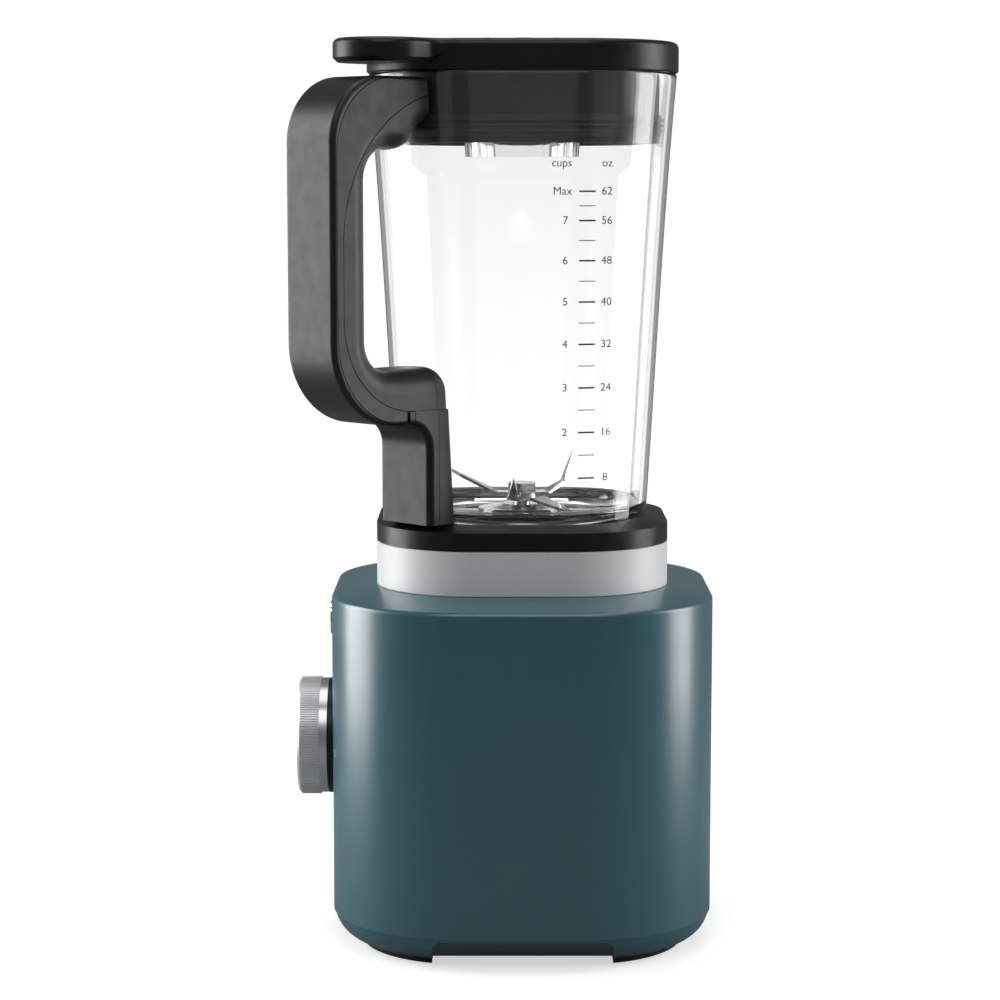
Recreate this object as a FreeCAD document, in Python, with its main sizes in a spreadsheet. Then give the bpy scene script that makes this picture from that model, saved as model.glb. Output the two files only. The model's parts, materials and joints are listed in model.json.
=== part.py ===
"""Countertop blender: motor base, jar with corner handle, lid and measuring cap.

Frame: +Z up, millimetres.  Z = 0 is the plane the rubber feet stand on and the Z axis is
the drive axis of motor and blades.  The front of the base, with the dial, faces -Y.
The handle stands on the corner of the jar between +X and -Y.
"""
import FreeCAD, Part
import math
import os
import re

import Sketcher
from FreeCAD import Placement, Rotation, Vector

DRIVING = [
    # rounded-square outlines: half width and corner radius
    ("base_half", 90.0, "motor base, half width"),
    ("base_corner", 62.0, "motor base, corner radius"),
    ("band_half", 68.8, "metal band and jar collar, half width"),
    ("band_corner", 47.0, "metal band and jar collar, corner radius"),
    ("foot_half", 76.0, "outline round the four feet, half width"),
    ("jar_foot_half", 58.4, "jar body at its foot, half width"),
    ("jar_waist_half", 64.4, "jar body at mid height, half width"),
    ("jar_neck_half", 69.5, "jar body under the rim, half width"),
    ("jar_rim_half", 71.9, "jar body at the rim, half width"),
    ("jar_inset", 14.6, "jar half width less corner radius, at the foot"),
    ("jar_rim_inset", 19.4, "jar half width less corner radius, at the rim"),
    ("lid_half", 72.4, "lid rim, half width"),
    ("lid_corner", 50.0, "lid rim, corner radius"),
    ("plug_half", 63.8, "lid plug inside the jar, half width"),
    # heights above the table
    ("pan_low", 3.3, "underside of the base pan"),
    ("parting", 15.4, "parting line between pan and housing"),
    ("shoulder", 166.5, "edge of the housing's top"),
    ("band_low", 170.7, "underside of the metal band"),
    ("band_high", 191.8, "top of the metal band, where the jar stands"),
    ("collar_high", 200.3, "outer edge of the jar collar's top"),
    ("collar_crest", 203.0, "jar collar where it meets the jar"),
    ("jar_low", 196.2, "underside of the jar's floor"),
    ("jar_floor", 201.0, "top of the jar's floor"),
    ("jar_waist", 300.0, "mid height section of the jar"),
    ("jar_neck", 380.0, "section of the jar under the rim"),
    ("jar_rim", 409.6, "rim of the jar"),
    ("plug_low", 377.4, "lower end of the lid plug"),
    ("lid_low", 409.8, "underside of the lid's rim"),
    ("lid_high", 423.7, "top of the lid"),
    ("dial_height", 92.3, "dial axis above the table"),
    # walls and small features
    ("wall", 3.0, "wall of housing and pan"),
    ("jar_wall", 3.2, "wall of the jar"),
    ("edge_round", 2.2, "rounding of the housing's top edge"),
    ("lid_round", 3.0, "rounding of the lid's top edge"),
    ("running_gap", 0.05, "radial gap of shafts in bearings"),
    # drive train
    ("shaft_dia", 8.0, "motor shaft and blade shaft"),
    ("bearing_od", 22.0, "motor bearings, outside diameter"),
    ("bearing_width", 7.0, "motor bearings, width"),
    ("stator_od", 84.0, "stator core, outside diameter"),
    ("stator_bore", 46.6, "stator core, bore"),
    ("stator_low", 72.0, "underside of the stator core"),
    ("stator_length", 46.0, "length of the stator core"),
    ("armature_dia", 45.2, "armature core, outside diameter"),
    ("commutator_dia", 25.0, "commutator, outside diameter"),
    ("fan_dia", 68.0, "cooling fan, outside diameter"),
    ("coupler_dia", 34.0, "drive couplers, outside diameter"),
    ("lower_seat", 37.0, "underside of the lower motor bearing"),
    ("upper_seat", 133.3, "underside of the upper motor bearing"),
    ("commutator_low", 46.6, "underside of the commutator"),
    ("commutator_length", 13.4, "length of the commutator"),
    ("fan_low", 18.0, "underside of the fan's hub"),
    ("coupler_seat", 171.2, "underside of the drive coupler"),
    ("cup_low", 371.5, "mouth of the measuring cup, which hangs upside down"),
    ("cup_length", 49.0, "length of the measuring cup"),
    # dial
    ("dial_dia", 57.0, "dial, outside diameter"),
    ("dial_depth", 10.4, "ribbed rim of the dial"),
    ("dial_stand", 7.2, "back of the dial's rim in front of the housing"),
    # handle, measured along the diagonal from the drive axis
    ("grip_outer", 134.0, "outer face of the grip"),
    ("grip_inner", 110.0, "inner face of the grip"),
    ("handle_width", 32.0, "width of the handle; its leg is a little wider"),
    ("arm_high", 406.6, "top of the upper arm"),
    ("arm_under", 374.0, "underside of the upper arm"),
    ("low_arm_high", 275.5, "top of the lower arm"),
    ("low_arm_under", 250.5, "underside of the lower arm"),
    ("leg_outer", 77.0, "outer face of the leg"),
    ("tab_reach", 112.0, "end of the lid's tab"),
    ("tab_width", 44.0, "width of the lid's tab"),
]

doc = FreeCAD.newDocument("Blender")
sheet = doc.addObject("Spreadsheet::Sheet", "Sizes")
for row, (alias, number, note) in enumerate(DRIVING, start=1):
    sheet.set(f"A{row}", note)
    sheet.set(f"B{row}", str(number))
    sheet.setAlias(f"B{row}", alias)
doc.recompute()

ALIASES = {alias for alias, _, _ in DRIVING}
DIAGONAL = Rotation(Vector(0, 0, 1), -45)
SIDEWAYS = Rotation(Vector(1, 0, 0), 90)
parts = {}


# ---------------------------------------------------------------- helpers
def cells(text):
    """An expression in plain aliases, rewritten to name the sheet's cells."""
    return re.sub(r"[a-z_]+", lambda w: "Sizes." + w[0] if w[0] in ALIASES else w[0], str(text))


def size(text):
    """The value of an expression in aliases."""
    found = sheet.evalExpression(cells(text))
    return float(getattr(found, "Value", found))


def bind(thing, prop, text):
    thing.setExpression(prop, cells(text))


def keep(name, thing):
    """Register a finished sub-part under its own label."""
    thing.Label = name
    parts[name] = thing
    return thing


def place(thing, x=0, y=0, z=0):
    for axis, text in (("x", x), ("y", y), ("z", z)):
        if str(text) != "0":
            bind(thing, f".Placement.Base.{axis}", text)


def cylinder(name, radius, length, x=0, y=0, z=0, turn=None, sweep=360):
    thing = doc.addObject("Part::Cylinder", name)
    if turn:
        thing.Placement = Placement(Vector(), turn)
    bind(thing, "Radius", radius)
    bind(thing, "Height", length)
    thing.Angle = sweep
    place(thing, x, y, z)
    return thing


def cone(name, low_radius, high_radius, length, x=0, y=0, z=0, turn=None):
    thing = doc.addObject("Part::Cone", name)
    if turn:
        thing.Placement = Placement(Vector(), turn)
    bind(thing, "Radius1", low_radius)
    bind(thing, "Radius2", high_radius)
    bind(thing, "Height", length)
    place(thing, x, y, z)
    return thing


def box(name, wide, deep, high, x=0, y=0, z=0):
    """A box centred on x and y, standing on z."""
    thing = doc.addObject("Part::Box", name)
    bind(thing, "Length", wide)
    bind(thing, "Width", deep)
    bind(thing, "Height", high)
    place(thing, f"({x}) - ({wide}) / 2", f"({y}) - ({deep}) / 2", z)
    return thing


def cut(name, base, tool):
    thing = doc.addObject("Part::Cut", name)
    thing.Base = base
    thing.Tool = tool
    return thing


def common(name, base, tool):
    thing = doc.addObject("Part::Common", name)
    thing.Base = base
    thing.Tool = tool
    return thing


def fuse(name, things):
    thing = doc.addObject("Part::MultiFuse", name)
    thing.Shapes = things
    return thing


def group(name, things):
    """Separate solids that share one node."""
    thing = doc.addObject("Part::Compound", name)
    thing.Links = things
    return thing


def tube(name, outer, inner, length, x=0, y=0, z=0, turn=None):
    return cut(
        name,
        cylinder(name + "_outside", outer, length, x, y, z, turn),
        cylinder(name + "_bore", inner, length, x, y, z, turn),
    )


def sector(name, outer, inner, length, z, start, sweep):
    """Part of a tube about the drive axis, from one angle through another."""
    turn = Rotation(Vector(0, 0, 1), start)
    return cut(
        name,
        cylinder(name + "_outside", outer, length, z=z, turn=turn, sweep=sweep),
        cylinder(name + "_bore", inner, length, z=z, turn=turn, sweep=sweep),
    )


def four_corners(radius):
    """The corners of a square at +-radius in x and y."""
    return [(i * radius, j * radius) for i in (-1, 1) for j in (-1, 1)]


def round_square(sketch, half, corner):
    """Four sides and four corner arcs, centred, bound to a half width and a radius."""
    a = size(half)
    r = size(corner)
    c = a - r
    for i in range(4):
        turn = Rotation(Vector(0, 0, 1), 90 * i)
        start, end, centre = (turn.multVec(p) for p in (Vector(a, -c), Vector(a, c), Vector(c, c)))
        sketch.addGeometry(Part.LineSegment(start, end))
        circle = Part.Circle(centre, Vector(0, 0, 1), r)
        sketch.addGeometry(Part.ArcOfCircle(circle, math.pi / 2 * i, math.pi / 2 * (i + 1)))
    add = sketch.addConstraint
    for i in range(4):
        line, arc, following = 2 * i, 2 * i + 1, (2 * i + 2) % 8
        add(Sketcher.Constraint("Tangent", line, 2, arc, 1))
        add(Sketcher.Constraint("Tangent", arc, 2, following, 1))
        add(Sketcher.Constraint("Vertical" if i % 2 == 0 else "Horizontal", line))
    for arc in (3, 5, 7):
        add(Sketcher.Constraint("Equal", 1, arc))
    radius = add(Sketcher.Constraint("Radius", 1, r))
    right = add(Sketcher.Constraint("DistanceX", -1, 1, 0, 1, a))
    top = add(Sketcher.Constraint("DistanceY", -1, 1, 2, 1, a))
    left = add(Sketcher.Constraint("DistanceX", 4, 1, -1, 1, a))
    bottom = add(Sketcher.Constraint("DistanceY", 6, 1, -1, 1, a))
    bind(sketch, f"Constraints[{radius}]", corner)
    for number in (right, top, left, bottom):
        bind(sketch, f"Constraints[{number}]", half)


def disc(sketch, radius, x=0.0, y=0.0):
    number = sketch.addGeometry(Part.Circle(Vector(x, y, 0), Vector(0, 0, 1), size(radius)))
    bound = sketch.addConstraint(Sketcher.Constraint("Radius", number, size(radius)))
    bind(sketch, f"Constraints[{bound}]", radius)


def outline(sketch, points):
    """Straight sides through the points, closed."""
    corners = [Vector(x, y, 0) for x, y in points]
    for start, end in zip(corners, corners[1:] + corners[:1]):
        sketch.addGeometry(Part.LineSegment(start, end))


def body(name):
    return keep(name, doc.addObject("PartDesign::Body", name))


def origin_plane(owner, role):
    return next(f for f in owner.Origin.OriginFeatures if f.Role == role)


def sketch_in(owner, name, offset="0", role="XY_Plane"):
    sketch = owner.newObject("Sketcher::SketchObject", name)
    sketch.AttachmentSupport = [(origin_plane(owner, role), "")]
    sketch.MapMode = "FlatFace"
    bind(sketch, ".AttachmentOffset.Base.z", offset)
    return sketch


def settle(feature):
    """Recompute, and stop at the first feature that fails."""
    doc.recompute()
    if not feature.isValid() or feature.Shape.isNull() or not feature.Shape.isValid():
        raise ValueError(f"{feature.Name} failed: {feature.State}")
    return feature


def pad(owner, sketch, length, down=False):
    feature = owner.newObject("PartDesign::Pad", sketch.Name + "_pad")
    feature.Profile = sketch
    feature.Reversed = down
    bind(feature, "Length", length)
    return settle(feature)


def pocket(owner, sketch, length, up=False):
    """Cut against the sketch's normal, or along it; the volume must drop."""
    before = owner.Shape.Volume
    feature = owner.newObject("PartDesign::Pocket", sketch.Name + "_pocket")
    feature.Profile = sketch
    feature.Reversed = up
    bind(feature, "Length", length)
    settle(feature)
    if owner.Shape.Volume >= before - 1e-3:
        raise ValueError(sketch.Name + " cuts nothing")
    return feature


def loft(owner, name, sections, subtract=False):
    kind = "PartDesign::SubtractiveLoft" if subtract else "PartDesign::AdditiveLoft"
    feature = owner.newObject(kind, name)
    feature.Profile = sections[0]
    feature.Sections = sections[1:]
    return settle(feature)


def around(owner, name, feature, count):
    """Repeat a feature evenly about the drive axis."""
    pattern = owner.newObject("PartDesign::PolarPattern", name)
    pattern.Originals = [feature]
    pattern.Axis = (origin_plane(owner, "Z_Axis"), [""])
    pattern.Angle = 360
    pattern.Occurrences = count
    owner.Tip = pattern
    return settle(pattern)


def round_edges(owner, name, radius, wanted, kind="PartDesign::Fillet"):
    """Fillet or chamfer the edges that a test picks out."""
    base = owner.Tip
    picked = [f"Edge{i}" for i, e in enumerate(base.Shape.Edges, start=1) if wanted(e)]
    feature = owner.newObject(kind, name)
    feature.Base = (base, picked)
    bind(feature, "Radius" if kind.endswith("Fillet") else "Size", radius)
    return settle(feature)


def level(edge, height):
    """Does an edge lie in the plane z = height?"""
    return all(abs(z - height) < 0.01 for z in (edge.BoundBox.ZMin, edge.BoundBox.ZMax))


def reach(edge):
    """Distance of an edge's middle from the drive axis."""
    middle = edge.valueAt((edge.FirstParameter + edge.LastParameter) / 2)
    return math.hypot(middle.x, middle.y)


def prism(name, draw, low, length):
    """A drawn outline, extruded upwards."""
    sketch = doc.addObject("Sketcher::SketchObject", name + "_outline")
    draw(sketch)
    bind(sketch, ".Placement.Base.z", low)
    thing = doc.addObject("Part::Extrusion", name)
    thing.Base = sketch
    thing.DirMode = "Normal"
    thing.Solid = True
    bind(thing, "LengthFwd", length)
    return thing


def square_ring(name, half, corner, thick, low, length):
    """A rounded-square ring of even thickness."""
    outside = prism(name + "_outside", lambda s: round_square(s, half, corner), low, length)
    inner_half, inner_corner = f"{half} - {thick}", f"{corner} - {thick}"
    inside = prism(name + "_inside", lambda s: round_square(s, inner_half, inner_corner), low, length)
    return cut(name, outside, inside)


# ---------------------------------------------------------------- motor base: shells
MOUNT_AT = 47.0  # motor mounts, in x and y
PAN_SCREW_AT = 48.0  # screws of the base pan, in x and y
BOSS_LOW = 145.0  # lower end of the bosses that carry the motor
WELL_HOLE = 42.0  # radius of the hole in the housing's top
PILOT = 1.6  # radius of a screw's pilot hole
CORD_X = -20.0
CORD_HEIGHT = 34.0


def make_housing():
    owner = body("base_housing")
    foot = sketch_in(owner, "housing_foot", "parting")
    round_square(foot, "base_half", "base_corner")
    pad(owner, foot, "shoulder - parting")
    edge = sketch_in(owner, "housing_edge", "shoulder")
    round_square(edge, "base_half", "base_corner")
    crown = sketch_in(owner, "housing_crown", "band_low")
    round_square(crown, "band_half + 0.8", "band_corner + 0.8")
    loft(owner, "housing_top", [edge, crown])
    round_edges(owner, "housing_round", "edge_round", lambda e: level(e, size("shoulder")))
    hollow = sketch_in(owner, "housing_hollow", "parting")
    round_square(hollow, "base_half - wall", "base_corner - wall")
    pocket(owner, hollow, "shoulder - wall - parting", up=True)
    # hanging bosses that carry the motor
    bosses = sketch_in(owner, "housing_bosses", BOSS_LOW)
    for x, y in four_corners(MOUNT_AT):
        disc(bosses, 7, x, y)
    pad(owner, bosses, f"shoulder - {BOSS_LOW}")
    # corner webs that take the pan screws
    web = sketch_in(owner, "housing_web", "parting")
    near, far, side, web_high = 60.0, 98.9, 6.0, 24
    outline(web, [turned(r, s) for r, s in ((near, -side), (far, -side), (far, side), (near, side))])
    around(owner, "housing_webs", pad(owner, web, web_high), 4)
    pilots = sketch_in(owner, "housing_pilots", "parting")
    for x, y in four_corners(PAN_SCREW_AT):
        disc(pilots, PILOT, x, y)
    pocket(owner, pilots, 14, up=True)
    threads = sketch_in(owner, "housing_threads", BOSS_LOW)
    for x, y in four_corners(MOUNT_AT):
        disc(threads, PILOT, x, y)
    pocket(owner, threads, 14, up=True)
    well = sketch_in(owner, "housing_well", "band_low")
    disc(well, WELL_HOLE)
    pocket(owner, well, 20)
    # dial: a shallow round seat and the hole for the switch
    seat = sketch_in(owner, "housing_dial_seat", "base_half", "XZ_Plane")
    disc(seat, "dial_dia / 2 + 3", 0, size("dial_height"))
    pocket(owner, seat, 1.2)
    hole = sketch_in(owner, "housing_dial_hole", "base_half", "XZ_Plane")
    disc(hole, 5.2, 0, size("dial_height"))
    pocket(owner, hole, 8)
    # cord inlet at the back
    inlet = sketch_in(owner, "housing_inlet", "0", "XZ_Plane")
    disc(inlet, 7.6, CORD_X, CORD_HEIGHT)
    pocket(owner, inlet, "base_half + 5")


def turned(reach_out, aside):
    """A point given along and across the corner diagonal, as x and y in the first quadrant."""
    half = math.sqrt(0.5)
    return (half * (reach_out - aside), half * (reach_out + aside))


def make_pan():
    owner = body("base_pan")
    levels = [("foot", "pan_low", 10.5), ("bulge", "pan_low + 5.5", 3.2), ("rim", "parting", 0.5)]
    skirt = []
    for name, height, inset in levels:
        section = sketch_in(owner, "pan_" + name, height)
        round_square(section, f"base_half - {inset}", f"base_corner - {inset}")
        skirt.append(section)
    loft(owner, "pan_skirt", skirt)
    arch = sketch_in(owner, "pan_arch", "base_half + 5", "XZ_Plane")
    wide, top, cut_corner, arch_deep = 41.6, 13.9, 3.0, 21.5
    outline(arch, [(-wide, 0), (wide, 0), (wide, top - cut_corner), (wide - cut_corner, top),
                   (cut_corner - wide, top), (-wide, top - cut_corner)])
    around(owner, "pan_arches", pocket(owner, arch, arch_deep), 4)
    hollow = sketch_in(owner, "pan_hollow", "parting")
    round_square(hollow, "base_half - 20", "base_corner - 20")
    pocket(owner, hollow, "parting - pan_low - wall")
    vent = sketch_in(owner, "pan_vent", "parting")
    vent_in, vent_out, vent_count = 15, 31, 14
    outline(vent, [(vent_in, -1.6), (vent_out, -2.6), (vent_out, 2.6), (vent_in, 1.6)])
    around(owner, "pan_vents", pocket(owner, vent, 20), vent_count)
    holes = sketch_in(owner, "pan_holes", "parting")
    for x, y in four_corners(PAN_SCREW_AT):
        disc(holes, 2.3, x, y)
    pocket(owner, holes, 20)


def make_feet():
    """Four rubber feet: the corners of a rounded-square ring."""
    ring = square_ring("feet_ring", "foot_half", "base_corner - 14", 13, 0, "pan_low")
    clear = fuse("feet_gaps", [box("feet_gap_x", 200, 84, 8), box("feet_gap_y", 84, 200, 8)])
    keep("rubber_feet", cut("rubber_feet", ring, clear))


def screws(name, spots, low, length, radius=1.5, head=3.4, head_high=2.2):
    """Upright screws with their heads down."""
    made = []
    for i, (x, y) in enumerate(spots):
        shank = cylinder(f"{name}_shank{i}", radius, length, x, y, low)
        cap = cylinder(f"{name}_head{i}", head, head_high, x, y, f"{low} - {head_high}")
        slot = box(f"{name}_slot{i}", 2 * head - 2, 0.9, 1, x, y, f"{low} - {head_high}")
        made.append(cut(f"{name}_{i}", fuse(f"{name}_whole{i}", [shank, cap]), slot))
    return keep(name, group(name, made))


def make_band():
    owner = body("silver_band")
    ring = sketch_in(owner, "band_outline", "band_low")
    round_square(ring, "band_half", "band_corner")
    pad(owner, ring, "band_high - band_low")
    hollow = sketch_in(owner, "band_hollow", "band_high")
    round_square(hollow, "band_half - 2.8", "band_corner - 2.8")
    pocket(owner, hollow, 30)
    ends = (size("band_low"), size("band_high"))
    outer = size("band_half") - 0.1
    round_edges(owner, "band_edges", 0.5,
                lambda e: any(level(e, z) for z in ends) and reach(e) > outer - 0.5 and
                widest(e) > outer, "PartDesign::Chamfer")


def make_deck():
    """The tray inside the band that the jar stands in, with the well of the drive coupler."""
    owner = body("drive_deck")
    deck_high, floor = 17.3, "band_low + 4.3"
    block = sketch_in(owner, "deck_outline", "band_low")
    round_square(block, "band_half - 3", "band_corner - 3")
    pad(owner, block, deck_high)
    dish = sketch_in(owner, "deck_dish", f"band_low + {deck_high}")
    round_square(dish, "band_half - 6", "band_corner - 6")
    pocket(owner, dish, 13)
    neck = sketch_in(owner, "deck_neck", "band_low")
    disc(neck, 26)
    pad(owner, neck, 4, down=True)
    well = sketch_in(owner, "deck_well", floor)
    disc(well, 21)
    pocket(owner, well, 5.3)
    bore = sketch_in(owner, "deck_bore", floor)
    disc(bore, 9)
    pocket(owner, bore, 20)


def widest(edge):
    """Largest distance of an edge from the x = 0 or y = 0 plane."""
    frame = edge.BoundBox
    return max(abs(frame.XMin), abs(frame.XMax), abs(frame.YMin), abs(frame.YMax))


# ---------------------------------------------------------------- motor base: dial and switch
def facing_front(name, radius, length, front, z="dial_height"):
    """A cylinder about the dial's axis whose front face is at y = -front."""
    return cylinder(name, radius, length, 0, f"{length} - ({front})", z, SIDEWAYS)


def make_dial_plate():
    """The black plate fixed behind the dial, and the plain ring that turns with the dial."""
    plate = facing_front("plate_disc", "dial_dia / 2 - 0.6", 4.1, "base_half + 2.9")
    hole = facing_front("plate_hole", 5.4, 8, "base_half + 5")
    nut_room = facing_front("plate_nut_room", 8.6, 5, "base_half + 6.4")
    keep("dial_backplate", cut("dial_backplate", plate, fuse("plate_tools", [hole, nut_room])))
    ring = facing_front("ring_disc", "dial_dia / 2 - 0.7", 3.9, "base_half + dial_stand")
    ring_hole = facing_front("ring_hole", 9.5, 6, "base_half + dial_stand + 1")
    keep("dial_ring", cut("dial_ring", ring, ring_hole))


def make_dial_cap():
    """The dial: fine ridges round the rim, a bevelled front edge, a dished face and a pointer groove."""
    ridges, ridge_deep = 148, 0.65
    bevel_long, bevel_in, dish_radius, dish_deep = 5.4, 1.4, 150, 1.6
    radius, deep = size("dial_dia") / 2, size("dial_depth")
    points = []
    for i in range(ridges):
        for part_turn, lower in ((0.0, ridge_deep), (0.2, 0), (0.55, 0), (0.75, ridge_deep)):
            angle = 2 * math.pi * (i + part_turn) / ridges
            points.append(Vector(math.cos(angle), 0, math.sin(angle)) * (radius - lower))
    rim = Part.Face(Part.makePolygon(points + points[:1])).extrude(Vector(0, -deep, 0))
    bevel_start = Vector(0, bevel_long - deep, 0)
    bevel = Part.makeCone(radius + 4, radius - bevel_in, bevel_long, bevel_start, Vector(0, -1, 0))
    back = Part.makeCylinder(radius + 1, 20, bevel_start, Vector(0, 1, 0))
    rim = rim.common(bevel.fuse(back))
    dish = Part.makeSphere(dish_radius, Vector(0, dish_deep - deep - dish_radius, 0))
    socket = Part.makeCylinder(3.05, 8, Vector(0, 0.5, 0), Vector(0, -1, 0))
    pointer = Part.makeBox(1.8, 1.2, 9, Vector(-0.9, -deep - 0.1, radius - 12.5))
    cap = doc.addObject("Part::Feature", "dial_cap")
    cap.Shape = rim.cut(dish).cut(socket).cut(pointer)
    cap.Placement.Base = Vector(0, -size("base_half + dial_stand"), size("dial_height"))
    keep("dial_cap", cap)
    keep("dial_shaft", facing_front("dial_shaft", 3, 21, "base_half + 14"))


def make_switch():
    """The rotary switch behind the dial and the nut that holds it to the housing."""
    case = box("switch_case", 26, 10, 26, 0, "-(base_half - wall - 7)", "dial_height - 13")
    bush = facing_front("switch_bush", 4.8, 5, "base_half - 0.6")
    bore = facing_front("switch_bore", 3.2, 40, "base_half + 10")
    keep("rotary_switch", cut("rotary_switch", fuse("switch_whole", [case, bush]), bore))
    nut = facing_front("switch_nut_disc", 7.6, 2, "base_half + 3.4")
    keep("switch_nut", cut("switch_nut", nut, facing_front("switch_nut_hole", 4.9, 6, "base_half + 6")))


def make_badge():
    """A plain bar of bright trim on the front, above the dial."""
    thick, corner, badge_low = 1.6, 6.5, 144.2
    bar = box("badge_bar", 34, thick, 15.6, 0, f"-(base_half + {thick} / 2)", badge_low)
    doc.recompute()
    badge = doc.addObject("Part::Fillet", "badge")
    badge.Base = bar
    through = [i for i, e in enumerate(bar.Shape.Edges, start=1) if abs(e.BoundBox.YLength - thick) < 0.01]
    badge.Edges = [(i, corner, corner) for i in through]
    keep("badge", badge)


# ---------------------------------------------------------------- motor base: motor
BOLT_AT = 37.0  # through bolts, along x
BRUSH_LOW = 48.0
BOLT_HOLE = 2.4
MOUNT_LOW = 129.3  # underside of the rubber mounts
PLATE = 4.0  # thickness of the brackets' plates


def make_stator():
    core = common("stator_block",
                  cylinder("stator_round", "stator_od / 2", "stator_length", z="stator_low"),
                  box("stator_square", 84, 76, "stator_length", z="stator_low"))
    bore = cylinder("stator_hole", "stator_bore / 2", "stator_length", z="stator_low")
    tools = [bore]
    for i, start in enumerate((16, 144, 196, 324)):
        tools.append(sector(f"stator_slot{i}", 34, 25.5, "stator_length", "stator_low", start, 20))
    for i, x in enumerate((-BOLT_AT, BOLT_AT)):
        tools.append(cylinder(f"stator_bolt_hole{i}", BOLT_HOLE, "stator_length", x, 0, "stator_low"))
    keep("stator_core", cut("stator_core", core, fuse("stator_tools", tools)))
    coils = []
    for i, start in enumerate((17.5, 197.5)):
        legs = []
        for j, leg in enumerate((start, start + 128)):
            legs.append(sector(f"coil{i}_leg{j}", 33.6, 26, "stator_length + 14", "stator_low - 7", leg, 17))
        for j, low in enumerate(("stator_low - 7", "stator_low + stator_length + 0.3")):
            legs.append(sector(f"coil{i}_end{j}", 33.6, 26, 6.7, low, start, 145))
        coils.append(fuse(f"field_coil{i}", legs))
    keep("field_coils", group("field_coils", coils))


def bracket(name, low, hub_low, hub_high, bearing_low, arms):
    """A cast end frame: ring plate, spokes, hub with a bearing seat and bolt holes."""
    solids = [
        tube(name + "_rim", 41, 33, PLATE, z=low),
        box(name + "_spoke_x", 78, 9, PLATE, z=low),
        box(name + "_spoke_y", 9, 78, PLATE, z=low),
        cylinder(name + "_hub", "bearing_od / 2 + 3", f"{hub_high} - ({hub_low})", z=hub_low),
    ]
    tools = [
        cylinder(name + "_seat", "bearing_od / 2 + running_gap", "bearing_width + 1", z=bearing_low),
        cylinder(name + "_hole", "shaft_dia / 2 + 1", 30, z=f"{hub_low} - 5"),
    ]
    for i, x in enumerate((-BOLT_AT, BOLT_AT)):
        solids.append(cylinder(f"{name}_ear{i}", 5, PLATE, x, 0, low))
        tools.append(cylinder(f"{name}_bolt_hole{i}", BOLT_HOLE, 60, x, 0, f"({low}) - 5"))
    for i, (x, y) in enumerate(arms):
        bar = box(f"{name}_arm{i}", 36, 13, PLATE)
        bar.Placement.Rotation = Rotation(Vector(0, 0, 1), math.degrees(math.atan2(y, x)))
        turn = bar.Placement.Rotation
        corner = turn.multVec(Vector(32, -6.5, 0))
        place(bar, corner.x, corner.y, low)
        solids.append(bar)
        tools.append(cylinder(f"{name}_mount_hole{i}", 4.2, 10, x, y, f"{low} - 3"))
    return solids, tools


def make_brackets():
    plate = "(upper_seat - 1)"
    solids, tools = bracket("upper_bracket", plate, "upper_seat - 3", "upper_seat + 8", "upper_seat",
                            four_corners(MOUNT_AT))
    whole, spaces = fuse("upper_bracket_whole", solids), fuse("upper_bracket_tools", tools)
    keep("upper_bracket", cut("upper_bracket", whole, spaces))

    spots = [(-BOLT_AT, 0), (BOLT_AT, 0)]
    foot = "(lower_seat - 1)"
    solids, tools = bracket("lower_bracket", foot, "lower_seat - 2", "lower_seat + 9", "lower_seat", [])
    post_low = f"{foot} + {PLATE}"
    for i, (x, y) in enumerate(spots):
        solids.append(cylinder(f"lower_bracket_post{i}", 5, f"stator_low - ({post_low})", x, y, post_low))
    whole, spaces = fuse("lower_bracket_whole", solids), fuse("lower_bracket_tools", tools)
    keep("lower_bracket", cut("lower_bracket", whole, spaces))

    stack_high = "(stator_low + stator_length)"
    spacers = [tube(f"spacer{i}", 5, BOLT_HOLE, f"{plate} - {stack_high}", x, y, stack_high)
               for i, (x, y) in enumerate(spots)]
    keep("stator_spacers", group("stator_spacers", spacers))
    screws("motor_bolts", spots, foot, 104, radius=2, head=3.8, head_high=3)


def bearing(name, low, outer="bearing_od / 2", width="bearing_width", inner="shaft_dia / 2 + running_gap"):
    """A deep-groove bearing as one closed ring with a groove on each face."""
    ring = tube(name + "_ring", outer, inner, width, z=low)
    grooves = [tube(f"{name}_groove{i}", f"({outer}) * 0.82", f"({outer}) * 0.58", 0.5, z=z)
               for i, z in enumerate((low, f"{low} + ({width}) - 0.5"))]
    return cut(name, ring, fuse(name + "_grooves", grooves))


def make_brushes():
    holders, brushes, springs = [], [], []
    pitch, spring_long, spring_radius, wire_radius = 1.9, 10.6, 2.1, 0.35
    for i, sign in enumerate((1, -1)):
        outside = box(f"holder{i}_outside", 11, 22, 11, 0, sign * 27, BRUSH_LOW - 1)
        inside = box(f"holder{i}_inside", 6.6, 30, 6.6, 0, sign * 27, BRUSH_LOW + 1.2)
        foot = box(f"holder{i}_foot", 9, 9, 7.2, 0, sign * 33, 40)
        holders.append(cut(f"holder{i}", fuse(f"holder{i}_whole", [outside, foot]), inside))
        carbon = box(f"brush{i}_block", 6, 14, 6, 0, sign * 19, BRUSH_LOW + 1.5)
        face = cylinder(f"brush{i}_face", "commutator_dia / 2 + 0.3", 12, z=BRUSH_LOW)
        brushes.append(cut(f"brush{i}", carbon, face))
        coil = doc.addObject("Part::Feature", f"brush_spring{i}")
        helix = Part.makeHelix(pitch, spring_long, spring_radius)
        wire = Part.makeCircle(wire_radius, Vector(spring_radius, 0, 0), Vector(0, 1, 0))
        coil.Shape = Part.Wire(helix.Edges).makePipeShell([Part.Wire([wire])], True, True)
        outward = Rotation(Vector(1, 0, 0), -90 * sign)
        coil.Placement = Placement(Vector(0, sign * 26.4, BRUSH_LOW + 4.5), outward)
        springs.append(coil)
    keep("brush_holders", group("brush_holders", holders))
    keep("carbon_brushes", group("carbon_brushes", brushes))
    keep("brush_springs", group("brush_springs", springs))


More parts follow.
